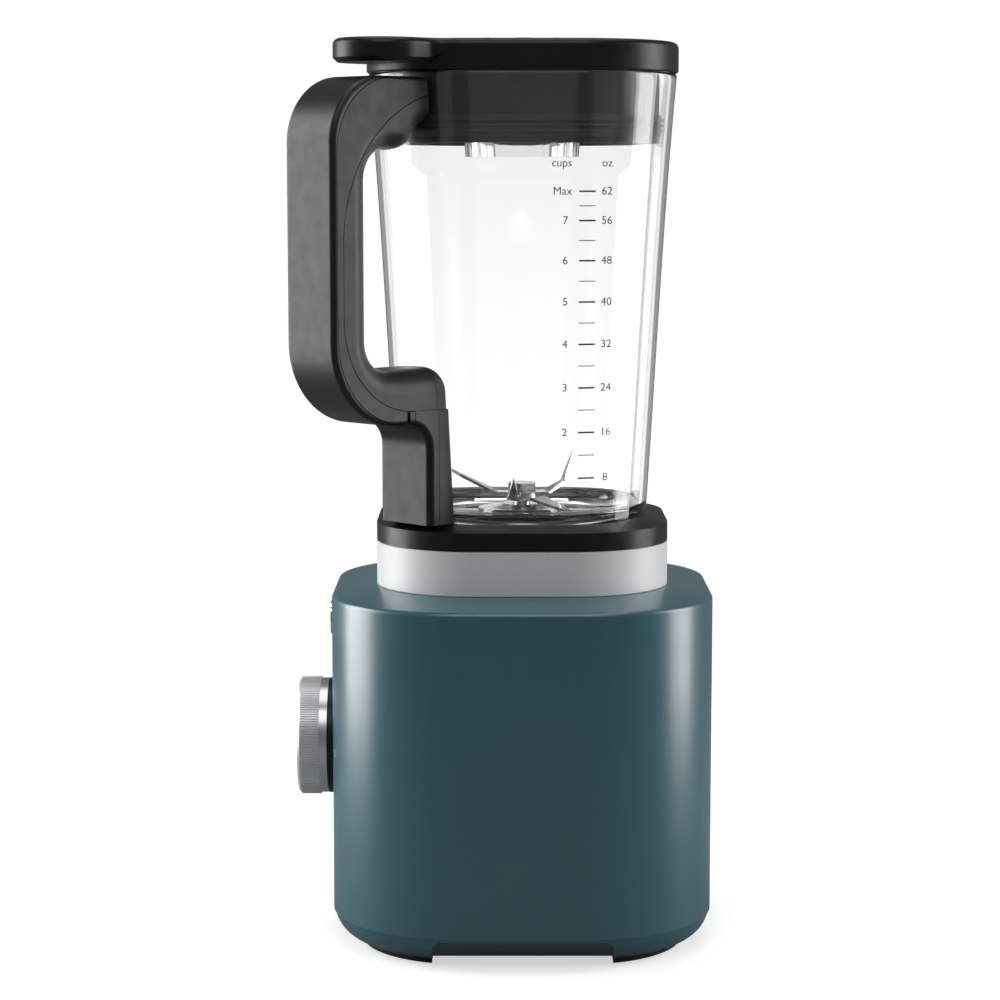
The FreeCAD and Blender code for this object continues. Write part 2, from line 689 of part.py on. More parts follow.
def make_mounts():
    """Rubber bushes between the upper bracket's arms and the housing's bosses."""
    made = []
    plate_low = size("upper_seat - 1")
    for i, (x, y) in enumerate(four_corners(MOUNT_AT)):
        low = tube(f"mount{i}_low", 7.5, 2.2, plate_low - MOUNT_LOW, x, y, MOUNT_LOW)
        neck = tube(f"mount{i}_neck", 3.9, 2.2, PLATE + 1, x, y, plate_low - 0.5)
        high = tube(f"mount{i}_high", 7.5, 2.2, BOSS_LOW - plate_low - PLATE, x, y, plate_low + PLATE)
        made.append(fuse(f"mount{i}", [low, neck, high]))
    keep("motor_mounts", group("motor_mounts", made))
    screws("mount_screws", four_corners(MOUNT_AT), MOUNT_LOW, 28, head=5.4)


def make_air_duct():
    wall = tube("duct_wall", 39.5, 37, 26, z="pan_low + wall")
    flange = tube("duct_flange", 46, 37, 2, z="pan_low + wall")
    keep("air_duct", fuse("air_duct", [wall, flange]))


def make_control():
    """The control board on the back wall, with its posts, three tall components and a heat sink."""
    back = "base_half - wall - 12"
    corners = [(x, z) for x in (-32, 32) for z in (67, 119)]
    board = box("board_plate", 74, 1.6, 62, 0, back, 62)
    holes = [cylinder(f"board_hole{i}", 1.7, 8, x, f"{back} + 4", z, SIDEWAYS)
             for i, (x, z) in enumerate(corners)]
    soldered = [cut("board_drilled", board, fuse("board_holes", holes))]
    components = [(-20, 96, 16, 18, 9), (22, 74, 14, 12, 11), (24, 98, 10, 12, 7)]
    for i, (x, z, wide, high, deep) in enumerate(components):
        soldered.append(box(f"component{i}", wide, deep, high, x, f"{back} - 0.8 - {deep} / 2", z))
    keep("control_board", group("control_board", soldered))
    fins = [box("sink_back", 24, 2.5, 36, 0, f"{back} - 2.05", 68)]
    for i in range(5):
        fins.append(box(f"sink_fin{i}", 1.8, 9, 36, -10 + 5 * i, f"{back} - 7.5", 68))
    keep("heat_sink", fuse("heat_sink", fins))
    posts = []
    for i, (x, z) in enumerate(corners):
        post = cylinder(f"post{i}_body", 3.2, 10.6, x, "base_half - wall - 0.5", z, SIDEWAYS)
        pin = cylinder(f"post{i}_pin", 1.5, 5, x, f"{back} + 1", z, SIDEWAYS)
        posts.append(fuse(f"post{i}", [post, pin]))
    keep("board_posts", group("board_posts", posts))


def make_inlet():
    """The cord's inlet: a rubber bush in the back wall and a clamp bar inside."""
    bush = cylinder("grommet_bush", 7.4, 9, CORD_X, "base_half + 3", CORD_HEIGHT, SIDEWAYS)
    lips = [cylinder("grommet_lip_out", 10, 2.6, CORD_X, "base_half + 3", CORD_HEIGHT, SIDEWAYS),
            cylinder("grommet_lip_in", 10, 2.2, CORD_X, "base_half - wall - 0.2", CORD_HEIGHT, SIDEWAYS)]
    bore = cylinder("grommet_bore", 3.8, 20, CORD_X, "base_half + 8", CORD_HEIGHT, SIDEWAYS)
    keep("cord_grommet", cut("cord_grommet", fuse("grommet_whole", [bush] + lips), bore))
    clamp_y, floor = "base_half - 28", size("pan_low + wall")
    block = box("clamp_block", 26, 8, CORD_HEIGHT - 0.5 - floor, CORD_X, clamp_y, floor)
    bar = box("clamp_bar", 26, 8, 5.5, CORD_X, clamp_y, CORD_HEIGHT + 0.5)
    groove = cylinder("clamp_groove", 3.8, 12, CORD_X, "base_half - 22", CORD_HEIGHT, SIDEWAYS)
    halves = [cut("clamp_lower", block, groove), cut("clamp_upper", bar, groove)]
    keep("cord_clamp", group("cord_clamp", halves))


# ---------------------------------------------------------------- armature: all that spins in the base
def make_armature():
    """The shaft, the slotted core and one closed winding through its twelve slots."""
    slots = 12
    keep("motor_shaft", cylinder("motor_shaft", "shaft_dia / 2", 160, z="fan_low - 1"))
    owner = body("armature_core")
    ring = sketch_in(owner, "core_outline", "stator_low + 0.5")
    disc(ring, "armature_dia / 2")
    disc(ring, "shaft_dia / 2")
    pad(owner, ring, "stator_length - 1")
    slot = sketch_in(owner, "core_slot", "stator_low + stator_length - 0.5")
    side = [(12.5, 1.3), (20.4, 3.2), (20.4, 1.0), (24, 1.0)]
    outline(slot, [(x, -y) for x, y in side] + side[::-1])
    around(owner, "core_slots", pocket(owner, slot, "stator_length + 2"), slots)

    turns = []
    for i in range(slots):
        bar = box(f"winding_bar{i}", 6.4, 2.0, "stator_length + 3", z="stator_low - 1.5")
        spin = Rotation(Vector(0, 0, 1), 360 / slots * i)
        corner = spin.multVec(Vector(13.3, -1.0, 0))
        bar.Placement.Rotation = spin
        place(bar, corner.x, corner.y, "stator_low - 1.5")
        turns.append(bar)
    narrow, wide = 16.5, 21.2
    ends = [(narrow, wide, "stator_low - 9.5"), (wide, narrow, "stator_low + stator_length - 0.3")]
    for i, (low, high, z) in enumerate(ends):
        bulge = cone(f"winding_end{i}", low, high, 9.8, z=z)
        turns.append(cut(f"winding_turn{i}", bulge, cylinder(f"winding_eye{i}", 8, 20, z=f"{z} - 4")))
    keep("armature_winding", fuse("armature_winding", turns))


def make_commutator():
    owner = body("commutator")
    ring = sketch_in(owner, "commutator_outline", "commutator_low")
    disc(ring, "commutator_dia / 2")
    disc(ring, "shaft_dia / 2")
    pad(owner, ring, "commutator_length")
    gap = sketch_in(owner, "commutator_gap", "commutator_low")
    outline(gap, [(11.3, -0.3), (13, -0.3), (13, 0.3), (11.3, 0.3)])
    around(owner, "commutator_gaps", pocket(owner, gap, "commutator_length", up=True), 24)


def make_fan():
    owner = body("cooling_fan")
    hub = sketch_in(owner, "fan_hub", "fan_low")
    disc(hub, 10)
    disc(hub, "shaft_dia / 2")
    pad(owner, hub, 14)
    plate = sketch_in(owner, "fan_plate", "fan_low + 12")
    disc(plate, "fan_dia / 2")
    disc(plate, "shaft_dia / 2")
    pad(owner, plate, 2)
    vane = sketch_in(owner, "fan_vane", "fan_low + 1")
    outline(vane, [(9, -0.9), (33, 5.6), (33, 7.6), (9, 1.1)])
    around(owner, "fan_vanes", pad(owner, vane, 12), 9)


def coupler(name, hub_low, hub_high, tooth_low, tooth_high, start):
    """A toothed coupler: a disc with six blocks standing on it."""
    owner = body(name)
    hub = sketch_in(owner, name + "_hub", hub_low)
    disc(hub, "coupler_dia / 2")
    disc(hub, "shaft_dia / 2")
    pad(owner, hub, f"{hub_high} - ({hub_low})")
    tooth = sketch_in(owner, name + "_tooth", tooth_low)
    inner, outer, half_angle = 9.0, size("coupler_dia") / 2 - 0.8, math.radians(10)
    spots = [(inner, -half_angle), (outer, -half_angle), (outer, half_angle), (inner, half_angle)]
    outline(tooth, [(r * math.cos(start + angle), r * math.sin(start + angle)) for r, angle in spots])
    around(owner, name + "_teeth", pad(owner, tooth, f"{tooth_high} - ({tooth_low})"), 6)


def make_couplers():
    """The two couplers mesh: each one's teeth stand in the other's gaps, half a pitch round."""
    disc_high, tooth_high, reach_over, half_pitch = 4.2, 7.2, 6.2, math.radians(30)
    join = size("coupler_seat") + disc_high
    coupler("drive_coupler", "coupler_seat", join, join, join + tooth_high, 0.0)
    driven = join + reach_over + 3
    coupler("driven_coupler", driven, driven + disc_high, driven - tooth_high, driven, half_pitch)


# ---------------------------------------------------------------- jar
def jar_section(sketch, half, inset, wall="0"):
    round_square(sketch, f"{half} - {wall}", f"{half} - {inset} - {wall}")


JAR_SECTIONS = [
    ("jar_low", "jar_foot_half", "jar_inset"),
    ("jar_waist", "jar_waist_half", "(jar_inset + 1.8)"),
    ("jar_neck", "jar_neck_half", "(jar_rim_inset - 0.9)"),
    ("jar_rim", "jar_rim_half", "jar_rim_inset"),
]


def make_jar():
    owner = body("jar_body")
    outer, inner = [], []
    for i, (height, half, inset) in enumerate(JAR_SECTIONS):
        skin = sketch_in(owner, f"jar_outer{i}", height)
        jar_section(skin, half, inset)
        outer.append(skin)
    loft(owner, "jar_outside", outer)
    for i, (height, half, inset) in enumerate(JAR_SECTIONS):
        skin = sketch_in(owner, f"jar_inner{i}", height if i else "jar_floor")
        jar_section(skin, half, inset, "jar_wall")
        inner.append(skin)
    loft(owner, "jar_inside", inner, subtract=True)
    hole = sketch_in(owner, "jar_hole", "jar_floor")
    disc(hole, 14)
    pocket(owner, hole, 12)


def make_collar():
    """The black foot of the jar: a seat for the clear body above and a skirt round the deck below."""
    skirt_long = 13
    owner = body("jar_collar")
    ring = sketch_in(owner, "collar_outline", "band_high")
    round_square(ring, "band_half", "band_corner")
    pad(owner, ring, "collar_high - band_high")
    rim = sketch_in(owner, "collar_rim", "collar_high")
    round_square(rim, "band_half - 0.6", "band_corner - 0.6")
    crest = sketch_in(owner, "collar_top", "collar_crest")
    round_square(crest, "jar_foot_half + 2.4", "jar_foot_half - jar_inset + 2.4")
    loft(owner, "collar_bevel", [rim, crest])
    skirt = sketch_in(owner, "collar_skirt", "band_high")
    round_square(skirt, "band_half - 6.8", "band_corner - 6.8")
    pad(owner, skirt, skirt_long, down=True)
    seat = sketch_in(owner, "collar_seat", "collar_crest")
    round_square(seat, "jar_foot_half + 0.6", "jar_foot_half - jar_inset + 0.6")
    pocket(owner, seat, "collar_crest - jar_low")
    under = sketch_in(owner, "collar_under", f"band_high - {skirt_long}")
    round_square(under, "band_half - 10", "band_corner - 10")
    pocket(owner, under, f"jar_low - 3.4 - band_high + {skirt_long}", up=True)
    hole = sketch_in(owner, "collar_hole", "collar_crest")
    disc(hole, 25)
    pocket(owner, hole, 20)


def make_blade_mount():
    """Bearing housing, bearings, seal and gasket in the jar's floor, and the nut under it."""
    low, bearing_low, bearing_high, nut_low, under_nut = 189.8, 190.2, 195.0, 190.4, 188
    solids = [
        cylinder("housing_body", 13.5, f"jar_floor + 3.2 - {low}", z=low),
        cylinder("housing_flange", 21, 2.4, z="jar_floor + 0.8"),
        cone("housing_dome", 15, 9, 2.2, z="jar_floor + 3.2"),
    ]
    tools = [
        cylinder("housing_seat", "8 + running_gap", f"jar_floor + 2.8 - {low}", z=low),
        cylinder("housing_eye", "shaft_dia / 2 + 0.4", 30, z=low),
    ]
    whole, spaces = fuse("blade_housing_whole", solids), fuse("blade_housing_tools", tools)
    keep("blade_housing", cut("blade_housing", whole, spaces))
    pair = [bearing(f"blade_bearing{i}", z, 8, 4.6) for i, z in enumerate((bearing_low, bearing_high))]
    keep("blade_bearings", group("blade_bearings", pair))
    keep("blade_seal", tube("blade_seal", 7.9, "shaft_dia / 2 + running_gap", 3.6, z="jar_floor - 1"))
    keep("jar_gasket", tube("jar_gasket", 20.6, 14.2, 0.8, z="jar_floor"))
    ring = cylinder("nut_ring", 23, f"jar_low - {nut_low}", z=nut_low)
    bite = [box(f"nut_notch{i}", 5, 8, 10, x, 0, under_nut) for i, x in enumerate((23, -23))]
    hole = cylinder("nut_hole", 13.8, 12, z=under_nut)
    keep("blade_lock_nut", cut("blade_lock_nut", ring, fuse("nut_tools", bite + [hole])))


# ---------------------------------------------------------------- blades
BLADE_THICK = 1.5


def blade_arm(first, second, wide, tilt, curl, azimuth):
    """One arm: a tapered plate of two runs, bent up by tilt at its root and by curl between them."""
    root, bend, clear = 5.0, 12.0, 80
    centre = []
    x, z, heading = root, 0.0, 0.0
    for run, turn in ((bend - root, tilt), (first, curl), (second, 0.0)):
        centre.append((x, z))
        x += run * math.cos(heading)
        z += run * math.sin(heading)
        heading += math.radians(turn)
    centre.append((x, z))
    upper = [Vector(px, 0, pz + BLADE_THICK / 2) for px, pz in centre]
    lower = [Vector(px, 0, pz - BLADE_THICK / 2) for px, pz in reversed(centre)]
    side = Part.Face(Part.makePolygon(upper + lower + upper[:1]))
    plate = side.extrude(Vector(0, 2 * wide, 0))
    plate.translate(Vector(0, -wide, 0))
    tip = centre[-1][0]
    half_wide = wide / 2
    plan = [Vector(root, -half_wide, 0), Vector(bend, -half_wide, 0), Vector(tip, half_wide * 0.55, 0),
            Vector(tip - 5, half_wide, 0), Vector(root, half_wide, 0)]
    shadow = Part.Face(Part.makePolygon(plan + plan[:1]))
    shadow.translate(Vector(0, 0, -clear))
    arm = plate.common(shadow.extrude(Vector(0, 0, 2 * clear)))
    arm.rotate(Vector(), Vector(0, 0, 1), azimuth)
    return arm


def make_blades():
    """Two bent steel blades with two arms each, clamped between a washer and a nut."""
    ring_low, washer, hub, play = "jar_floor + 6.9", 0.9, 7.5, 0.1
    keep("blade_washer", tube("blade_washer", hub, "shaft_dia / 2", washer, z=ring_low))
    stack = size(ring_low) + washer
    thick = BLADE_THICK
    # arms as first run, second run, width, bend at the root, bend between the runs, direction
    plans = [
        ("lower_blade", stack, [(12, 10, 10, -16, 0, 40), (7, 5, 6, 70, 0, -20)]),
        ("upper_blade", stack + thick + play, [(14, 10.5, 9, 26, 0, -98), (10, 19, 11, 27, 42, 104)]),
    ]
    for name, low, arms in plans:
        plate = Part.makeCylinder(hub, thick, Vector(0, 0, -thick / 2))
        for arm in arms:
            plate = plate.fuse(blade_arm(*arm))
        plate = plate.removeSplitter()
        eye = Part.makeCylinder(size("shaft_dia") / 2, 10, Vector(0, 0, -5))
        blade = doc.addObject("Part::Feature", name)
        blade.Shape = plate.cut(eye)
        blade.Placement.Base = Vector(0, 0, low + thick / 2)
        keep(name, blade)
    nut_low = stack + 2 * thick + play
    prism_nut = doc.addObject("Part::Prism", "nut_hex")
    prism_nut.Polygon = 6
    prism_nut.Circumradius = 7.6
    prism_nut.Height = 4.4
    place(prism_nut, 0, 0, nut_low)
    eye = cylinder("nut_eye", "shaft_dia / 2", 3.6, z=nut_low)
    keep("blade_nut", cut("blade_nut", prism_nut, eye))
    shaft_low = 184.6
    shaft_long = f"{nut_low + 3.5} - {shaft_low}"
    keep("blade_shaft", cylinder("blade_shaft", "shaft_dia / 2", shaft_long, z=shaft_low))


# ---------------------------------------------------------------- handle
def arc_between(start, end, centre):
    """A quarter-turn or shorter arc from start to end about a centre, in the sketch plane."""
    start, end, centre = Vector(*start), Vector(*end), Vector(*centre)
    middle = (start - centre) + (end - centre)
    middle.normalize()
    return Part.Arc(start, centre + middle * (start - centre).Length, end)


def trace(sketch, steps):
    """Lines and arcs through a closed list of (point) or (point, centre of the arc that ends there)."""
    last = steps[-1][0]
    for point, centre in steps:
        start, end = Vector(*last), Vector(*point)
        if (end - start).Length > 1e-6:
            sketch.addGeometry(arc_between(last, point, centre) if centre else Part.LineSegment(start, end))
        last = point


def diagonal_prism(name, steps, width):
    """An outline in the handle's own plane (distance from the axis, height), given a width."""
    sketch = doc.addObject("Sketcher::SketchObject", name + "_outline")
    sketch.Placement = Placement(Vector(), DIAGONAL.multiply(SIDEWAYS))
    trace(sketch, steps)
    thing = doc.addObject("Part::Extrusion", name)
    thing.Base = sketch
    thing.DirMode = "Normal"
    thing.Solid = True
    thing.Symmetric = True
    bind(thing, "LengthFwd", width)
    return settle(thing)


def rounded(name, base, radius, wanted):
    """Round the long edges that a test picks out."""
    thing = doc.addObject("Part::Fillet", name)
    thing.Base = base
    thing.Edges = [(i, radius, radius) for i, e in enumerate(base.Shape.Edges, start=1) if wanted(e)]
    return settle(thing)


def on_side(edge, width):
    """Does an edge lie in one of the handle's two side planes?"""
    across = Vector(1, 1, 0).normalize()
    spots = (edge.valueAt(edge.FirstParameter), edge.valueAt(edge.LastParameter))
    return all(abs(abs(p.dot(across)) - width / 2) < 0.01 for p in spots)


def make_handle():
    out, inn = size("grip_outer"), size("grip_inner")
    top, under = size("arm_high"), size("arm_under")
    low_top, low_under = size("low_arm_high"), size("low_arm_under")
    leg, wide = size("leg_outer"), size("handle_width")
    big, small, turn, end = 30.0, 38.0, 14.0, 16.0
    buried, arm_end, leg_long = 60.0, 76.0, 47.2

    def faces_fingers(edge):
        """Does an edge lie on the inside of the loop, where the fingers go through?"""
        middle = edge.valueAt((edge.FirstParameter + edge.LastParameter) / 2)
        outward = middle.dot(Vector(1, -1, 0).normalize())
        return outward < inn + 0.1 and low_top - 0.1 < middle.z < under + end + 0.1

    loop = [
        ((buried, top), None),
        ((out - big, top), None),
        ((out, top - big), (out - big, top - big)),
        ((out, low_under + small), None),
        ((out - small, low_under), (out - small, low_under + small)),
        ((buried, low_under), None),
        ((buried, low_top), None),
        ((inn - turn, low_top), None),
        ((inn, low_top + turn), (inn - turn, low_top + turn)),
        ((inn, under - turn), None),
        ((inn - turn, under), (inn - turn, under - turn)),
        ((arm_end + end, under), None),
        ((arm_end, under + end), (arm_end + end, under + end)),
        ((buried, under + end), None),
    ]
    arms = diagonal_prism("handle_loop", loop, "handle_width")
    arms = rounded("handle_back", arms, 2.5,
                   lambda e: on_side(e, wide) and reach(e) > 75 and not faces_fingers(e))
    arms = rounded("handle_arms", arms, 11.0,
                   lambda e: on_side(e, wide) and reach(e) > 75 and faces_fingers(e))
    knee, leg_wide = 12.0, wide + 2
    column = [
        ((buried, low_under - leg_long), None),
        ((leg, low_under - leg_long), None),
        ((leg, low_under - knee), None),
        ((leg + knee, low_under), (leg + knee, low_under - knee)),
        ((leg + knee, low_under + 6), None),
        ((buried, low_under + 6), None),
    ]
    limb = rounded("handle_limb", diagonal_prism("handle_column", column, leg_wide), 3.0,
                   lambda e: on_side(e, leg_wide) and reach(e) > 70 and e.BoundBox.ZMax < low_under + 1
                   and e.BoundBox.ZLength > 5)
    whole = fuse("handle_whole", [arms, limb])

    # the jar's outside, a little larger, clears the handle off the jar
    sections = []
    for i, (height, half, inset) in enumerate(JAR_SECTIONS):
        sketch = doc.addObject("Sketcher::SketchObject", f"clearance{i}")
        round_square(sketch, f"{half} + 0.15", f"{half} - {inset} + 0.15")
        bind(sketch, ".Placement.Base.z", height)
        sections.append(sketch)
    jar_space = doc.addObject("Part::Loft", "jar_space")
    jar_space.Sections = sections
    jar_space.Solid = True
    free = cut("handle_free", whole, jar_space)

    # split lines: soft outer shell, frame strip, inner cover, and the strip against the jar
    gap, shell, strip, far = 0.3, 2.6, 3.5, 160.0

    def band(name, depth, thick, merge_top, merge_low):
        """The region outside a line that runs at a depth under the grip's outer face."""
        line = out - depth
        big_turn, small_turn = line - merge_top, line - merge_low
        steps = [
            ((merge_top, top + 5), None),
            ((merge_top, top - thick), None),
            ((line, top - thick - big_turn), (merge_top, top - thick - big_turn)),
            ((line, low_under + thick + small_turn), None),
            ((merge_low, low_under + thick), (merge_low, low_under + thick + small_turn)),
            ((merge_low, low_under - 5), None),
            ((far, low_under - 5), None),
            ((far, top + 5), None),
        ]
        return diagonal_prism(name, steps, "handle_width + 6")

    outer_zone = band("zone_shell", shell, 0.6, 98.0, 92.0)
    outer_zone_gap = band("zone_shell_gap", shell + gap, 0.6 + gap, 97.7, 91.7)
    strip_zone = band("zone_strip", shell + strip, 6.0, 60.0, 86.0)
    strip_zone_gap = band("zone_strip_gap", shell + strip + gap, 6.0 + gap, 59.7, 85.7)
    keep("handle_grip", common("handle_grip", free, outer_zone))
    keep("handle_frame", cut("handle_frame", common("handle_middle", free, strip_zone), outer_zone_gap))
    rest = cut("handle_rest", free, strip_zone_gap)

    def liner(name, out_by):
        """The region of the strip that lies against the jar, from the collar up past the lower arm."""
        near, low, high = 50, 200, low_top + 5
        front = leg - 6 + out_by
        steps = [(near, low), (front, low), (front, low_under), (front + 1.5, high), (near, high)]
        return diagonal_prism(name, [(step, None) for step in steps], "handle_width + 6")

    keep("handle_mount", common("handle_mount", rest, liner("zone_liner", 0.0)))
    keep("handle_cover", cut("handle_cover", rest, liner("zone_liner_gap", gap)))


# ---------------------------------------------------------------- lid and measuring cap
def make_lid():
    """The lid: a rim with a round tab over the handle, a hollow plug and a neck for the cup."""
    cap_seat = 2
    owner = body("lid_body")
    rim = sketch_in(owner, "lid_outline", "lid_low")
    round_square(rim, "lid_half", "lid_corner")
    pad(owner, rim, "lid_high - lid_low")
    tab = sketch_in(owner, "lid_tab", "lid_low + 3.2")
    half = size("tab_width") / 2
    centre = size("tab_reach") - half
    corners = [DIAGONAL.multVec(Vector(x, y, 0)) for x, y in
               ((30, -half), (centre, -half), (centre + half, 0), (centre, half), (30, half))]
    tab.addGeometry(Part.LineSegment(corners[0], corners[1]))
    tab.addGeometry(Part.Arc(corners[1], corners[2], corners[3]))
    tab.addGeometry(Part.LineSegment(corners[3], corners[4]))
    tab.addGeometry(Part.LineSegment(corners[4], corners[0]))
    pad(owner, tab, "lid_high - lid_low - 3.2")
    high, tab_low, bevel = size("lid_high"), size("lid_low + 3.2"), 2.0
    round_edges(owner, "lid_tab_chamfer", bevel,
                lambda e: level(e, tab_low) and reach(e) > 84, "PartDesign::Chamfer")
    round_edges(owner, "lid_tab_blend", 9,
                lambda e: high - tab_low - e.BoundBox.ZLength < bevel + 0.1 and 70 < reach(e) < 90
                and abs(abs(e.BoundBox.XMin + e.BoundBox.YMin) / math.sqrt(2) - half) < 0.5)
    round_edges(owner, "lid_top_round", "lid_round", lambda e: level(e, high) and reach(e) > 70)
    round_edges(owner, "lid_low_round", 0.8,
                lambda e: level(e, size("lid_low")) and reach(e) > 70)
    plug = sketch_in(owner, "lid_plug", "lid_low")
    round_square(plug, "plug_half", "plug_half - 18.6")
    pad(owner, plug, "lid_low - plug_low", down=True)
    hollow = sketch_in(owner, "lid_hollow", "plug_low")
    round_square(hollow, "plug_half - 2.6", "plug_half - 21.2")
    pocket(owner, hollow, "lid_high - 4 - plug_low", up=True)
    neck = sketch_in(owner, "lid_neck", "lid_low - 14")
    disc(neck, 34)
    pad(owner, neck, "lid_high - 4 - lid_low + 14")
    mouth = sketch_in(owner, "lid_mouth", "lid_high")
    disc(mouth, 31.4)
    pocket(owner, mouth, 60)
    seat = sketch_in(owner, "lid_seat", "lid_high")
    disc(seat, 36)
    pocket(owner, seat, cap_seat)


def make_lid_seal():
    """A rubber sleeve round the plug, with three lips that wipe the jar's wall."""
    def plug_prism(name, out, low, length):
        half, corner = f"plug_half + {out}", f"plug_half - 18.6 + {out}"
        return prism(name, lambda s: round_square(s, half, corner), low, length)

    sleeve_low, sleeve_long, lips, lip_pitch, lip_thick = 3.0, 10, 3, 2.5, 1.1
    inner = plug_prism("seal_inside", 0.15, f"plug_low + {sleeve_low} - 1", sleeve_long + 2)
    solids = [plug_prism("seal_sleeve", 0.9, f"plug_low + {sleeve_low}", sleeve_long)]
    for i in range(lips):
        lip_low = sleeve_low + 2.1 + lip_pitch * i
        solids.append(plug_prism(f"seal_lip{i}", 2.3, f"plug_low + {lip_low}", lip_thick))
    keep("lid_seal", cut("lid_seal", fuse("seal_whole", solids), inner))


def make_cap():
    """The measuring cup hangs mouth down in the lid, with flat facets on its outside."""
    facets, mouth, root, wall = 12, 26.9, 30.9, 2.5
    rings = []
    for i, (radius, height) in enumerate(((mouth, "cup_low"), (root, "cup_low + cup_length"))):
        ring = doc.addObject("Part::RegularPolygon", f"cup_ring{i}")
        ring.Polygon = facets
        ring.Circumradius = radius
        place(ring, z=height)
        rings.append(ring)
    outside = doc.addObject("Part::Loft", "cup_outside")
    outside.Sections = rings
    outside.Solid = True
    outside.Ruled = True
    inside = cone("cup_inside", mouth - wall, root - wall, "cup_length - 2", z="cup_low")
    keep("measuring_cup", cut("measuring_cup", outside, inside))
    top = cylinder("cap_disc", 35.6, 3.1, z="lid_high - 1.95")
    crown = cone("cap_crown", 34.6, 30, 1.2, z="lid_high + 1.15")
    finger = [box(f"cap_recess{i}", 16, 30, 10, x, 0, "lid_high + 0.6") for i, x in enumerate((-23, 23))]
    stub = cylinder("cap_stub_space", 31.2, 6, z="cup_low + cup_length - 6")
    keep("cap_top", cut("cap_top", fuse("cap_whole", [top, crown]), fuse("cap_tools", finger + [stub])))


make_housing()
make_pan()
make_feet()
screws("pan_screws", four_corners(PAN_SCREW_AT), "pan_low", 24)
make_band()
make_deck()
make_dial_plate()
make_dial_cap()
make_switch()
make_badge()
make_stator()
make_brackets()
keep("upper_bearing", bearing("upper_bearing", "upper_seat"))
keep("lower_bearing", bearing("lower_bearing", "lower_seat"))
make_brushes()
make_mounts()
make_air_duct()
make_control()
make_inlet()
keep("well_seal", tube("well_seal", 9, "shaft_dia / 2 + 0.4", 3, z="band_low - 3.5"))
make_armature()
make_commutator()
make_fan()
make_couplers()
make_jar()
make_collar()
make_blade_mount()
make_blades()
make_handle()
make_lid()
make_lid_seal()
make_cap()

doc.recompute()
for thing in doc.Objects:
    if {"Invalid", "Error"} & set(thing.State):
        raise ValueError(f"{thing.Name} failed: {thing.State}")
for name, thing in parts.items():
    if thing.Shape.isNull() or not thing.Shape.isValid():
        raise ValueError(name + " has no valid shape")

os.makedirs("parts", exist_ok=True)
for name, thing in parts.items():
    thing.Shape.exportStep(f"parts/{name}.step")
print(len(parts), "sub-parts written")
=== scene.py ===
"""Studio picture of a countertop blender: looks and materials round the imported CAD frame.

Units are metres.  +Z is up, the drive axis is x = y = 0 and the feet stand on z = 0.  The dial
faces -Y, the handle stands on the corner between +X and -Y, and the camera looks along -X.
"""
import json
import math

import bmesh
import bpy
from mathutils import Matrix, Vector


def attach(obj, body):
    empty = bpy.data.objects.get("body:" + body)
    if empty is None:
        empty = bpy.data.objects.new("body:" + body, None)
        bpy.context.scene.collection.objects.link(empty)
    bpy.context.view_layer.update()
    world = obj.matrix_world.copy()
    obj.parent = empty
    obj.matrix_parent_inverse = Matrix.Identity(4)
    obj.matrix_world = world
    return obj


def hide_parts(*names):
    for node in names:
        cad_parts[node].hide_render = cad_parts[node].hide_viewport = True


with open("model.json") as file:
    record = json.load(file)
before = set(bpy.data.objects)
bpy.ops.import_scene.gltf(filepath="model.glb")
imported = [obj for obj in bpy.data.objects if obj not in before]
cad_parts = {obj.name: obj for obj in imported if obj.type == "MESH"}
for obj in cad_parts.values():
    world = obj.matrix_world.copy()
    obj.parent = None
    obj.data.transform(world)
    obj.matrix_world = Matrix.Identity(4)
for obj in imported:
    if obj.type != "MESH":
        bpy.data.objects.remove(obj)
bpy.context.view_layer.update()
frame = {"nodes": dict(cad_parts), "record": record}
MM = 0.001
NODES = frame["nodes"]


# ---------------------------------------------------------------- camera, floor and light
def make_camera():
    """A long lens on the handle side, a little above the jar's middle, looking slightly down."""
    distance, aside, height = 1.2696, -0.0105, 0.3615
    pitch = math.radians(6.92)
    data = bpy.data.cameras.new("studio_camera")
    data.lens = 95.5
    data.sensor_width = 36.0
    camera = bpy.data.objects.new("studio_camera", data)
    right = Vector((0, 1, 0))
    back = Vector((math.cos(pitch), 0, math.sin(pitch)))
    up = back.cross(right)
    turn = Matrix((right, up, back)).transposed()
    camera.matrix_world = Matrix.Translation((distance, aside, height)) @ turn.to_4x4()
    bpy.context.collection.objects.link(camera)
    bpy.context.scene.camera = camera


